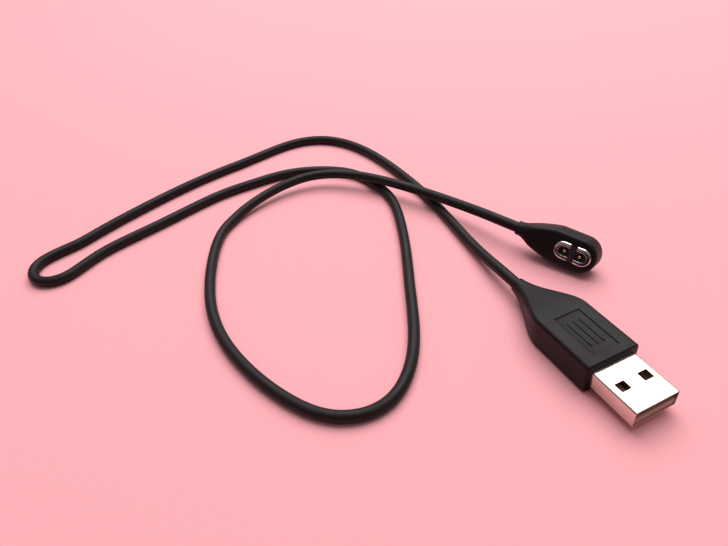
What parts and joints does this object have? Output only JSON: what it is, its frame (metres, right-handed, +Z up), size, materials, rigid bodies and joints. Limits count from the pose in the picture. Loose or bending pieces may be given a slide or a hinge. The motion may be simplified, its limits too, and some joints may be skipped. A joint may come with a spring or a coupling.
{
  "type": "usb charging cable",
  "caption": "Black charging cable laid in loose loops, from a flat USB-A plug to a small head with a magnetic face and sprung contact pins.",
  "frame": {"origin": "middle of the flat underside of the USB plug's grip, on the plane the cable lies on", "axes": "+X is the way the plug goes in, +Z is up from the plane the cable lies on, +Y completes a right-handed frame; the cord runs off towards -X"},
  "size_m": [0.1564, 0.1404, 0.0106],
  "materials": {
    "shell_steel": "nickel-plated pressed sheet steel",
    "carrier_plastic": "natural glass-filled plastic",
    "contact_gold": "gold-plated",
    "inner_plastic": "hard inner mould, not seen",
    "overmould_tpe": "satin elastomer overmould",
    "cord_tpe": "satin elastomer jacket",
    "block_plastic": "fine matte",
    "magnet_nickel": "nickel-plated magnet, polished",
    "yoke_steel": "plain steel, not seen",
    "spring_steel": "spring wire, not seen",
    "board_laminate": "solder-masked laminate, not seen",
    "wire_red": "insulated wire, not seen",
    "wire_black": "insulated wire, not seen"
  },
  "bodies": {
    "cable": {"usb_shell": "shell_steel", "contact_carrier": "carrier_plastic", "contact_vbus": "contact_gold", "contact_data_minus": "contact_gold", "contact_data_plus": "contact_gold", "contact_ground": "contact_gold", "plug_inner_mould": "inner_plastic", "plug_wire_red": "wire_red", "plug_wire_black": "wire_black", "plug_overmould": "overmould_tpe", "cord": "cord_tpe", "head_overmould": "overmould_tpe", "contact_block": "block_plastic", "magnet_left": "magnet_nickel", "magnet_right": "magnet_nickel", "magnet_yoke": "yoke_steel", "pin_barrel_1": "contact_gold", "pin_barrel_2": "contact_gold", "pin_spring_1": "spring_steel", "pin_spring_2": "spring_steel", "head_board": "board_laminate", "head_inner_mould": "inner_plastic", "head_wire_red": "wire_red", "head_wire_black": "wire_black"},
    "plunger_1": {"pin_plunger_1": "contact_gold"},
    "plunger_2": {"pin_plunger_2": "contact_gold"}
  },
  "joints": [
    {"name": "pin_press_1", "type": "slide", "parent": "cable", "child": "plunger_1", "axis": [-0.4226, 0.8581, -0.2917], "range_m": [0, 0.0007], "stiffness_N_per_m": 600, "springref_m": -0.0004, "deforming": ["pin_spring_1"]},
    {"name": "pin_press_2", "type": "slide", "parent": "cable", "child": "plunger_2", "axis": [-0.4226, 0.8581, -0.2917], "range_m": [0, 0.0007], "stiffness_N_per_m": 600, "springref_m": -0.0004, "deforming": ["pin_spring_2"]}
  ]
}
